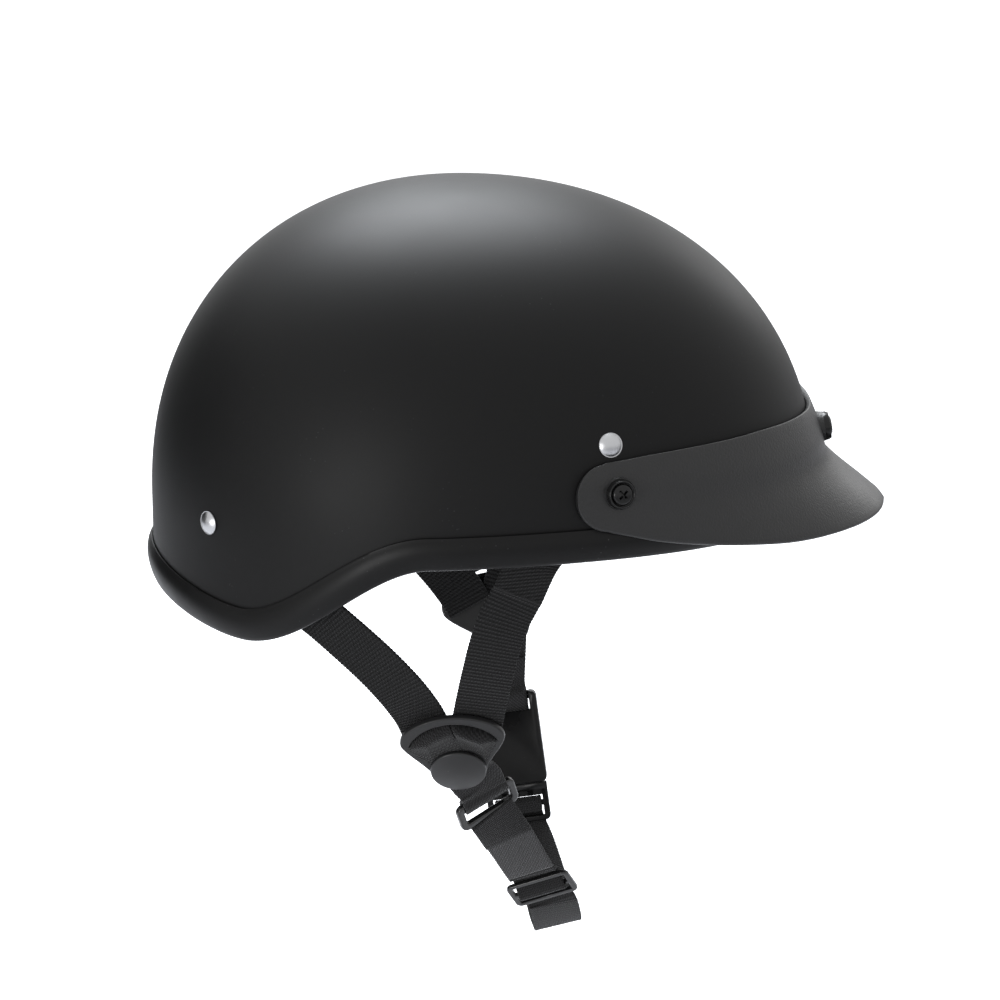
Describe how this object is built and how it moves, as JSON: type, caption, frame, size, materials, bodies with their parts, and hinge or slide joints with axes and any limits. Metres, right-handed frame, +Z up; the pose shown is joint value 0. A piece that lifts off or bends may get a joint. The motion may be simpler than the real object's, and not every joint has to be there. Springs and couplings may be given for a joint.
{
  "type": "half shell motorcycle helmet",
  "caption": "Open half shell helmet with a clip-on peak, rubber edge trim, padded liner and a Y-strap chin harness with a side release buckle.",
  "frame": {"origin": "centre of the head opening, level with the front rim", "axes": "+X forward, +Y the wearer's left, +Z up through the crown"},
  "size_m": [0.2992, 0.225, 0.3228],
  "materials": {
    "shell": "matte black paint on a moulded shell",
    "trim": "satin black rubber",
    "foam": "black expanded polystyrene",
    "lining": "black brushed cloth over foam",
    "peak": "fine grained black plastic",
    "rivet": "zinc plated steel",
    "screw": "black nylon",
    "nut": "black nylon",
    "webbing": "black woven polyester webbing",
    "plate": "satin black moulded plastic",
    "hardware": "black enamelled metal",
    "buckle": "black acetal plastic",
    "spring": "spring steel"
  },
  "bodies": {
    "helmet": {"brow_pad": "lining", "buckle_female": "buckle", "button_spring": "spring", "chin_strap": "webbing", "comfort_liner": "lining", "crown_pad": "lining", "edge_trim": "trim", "front_strap_left": "webbing", "front_strap_right": "webbing", "impact_liner": "foam", "lower_strap_left": "webbing", "lower_strap_right": "webbing", "nape_pad": "lining", "outer_shell": "shell", "peak": "peak", "peak_cup_front": "screw", "peak_cup_left": "screw", "peak_cup_right": "screw", "peak_nut_front": "nut", "peak_nut_left": "nut", "peak_nut_right": "nut", "peak_screw_front": "screw", "peak_screw_left": "screw", "peak_screw_right": "screw", "plate_cap_left": "plate", "plate_cap_right": "plate", "plate_washer_left": "nut", "plate_washer_right": "nut", "rear_strap_left": "webbing", "rear_strap_right": "webbing", "rivet_front_left": "rivet", "rivet_front_right": "rivet", "rivet_rear_left": "rivet", "rivet_rear_right": "rivet", "rivet_washer_front_left": "rivet", "rivet_washer_front_right": "rivet", "rivet_washer_rear_left": "rivet", "rivet_washer_rear_right": "rivet", "side_pad_left": "lining", "side_pad_right": "lining", "strap_plate_left": "plate", "strap_plate_right": "plate"},
    "tongue": {"buckle_male": "buckle"},
    "button": {"buckle_button": "buckle"},
    "glide": {"tri_glide": "hardware"},
    "ring": {"strap_ring": "hardware"}
  },
  "joints": [
    {"name": "buckle_release", "type": "slide", "parent": "helmet", "child": "tongue", "axis": [0.1356, -0.2501, -0.9587], "range_m": [0, 0.028], "deforming": ["chin_strap"]},
    {"name": "button_press", "type": "slide", "parent": "helmet", "child": "button", "axis": [-0.035, -0.9682, 0.2476], "range_m": [0, 0.002], "stiffness_N_per_m": 800, "deforming": ["button_spring"]},
    {"name": "glide_slide", "type": "slide", "parent": "helmet", "child": "glide", "axis": [-0.3889, -0.4972, 0.7756], "range_m": [-0.006, 0.026], "deforming": ["chin_strap"]},
    {"name": "ring_swing", "type": "hinge", "parent": "helmet", "child": "ring", "pos_m": [0.00948, -0.06207, -0.10999], "axis": [0.8263, 0.3982, 0.3982], "range_deg": [-12, 12], "deforming": ["chin_strap"]}
  ]
}
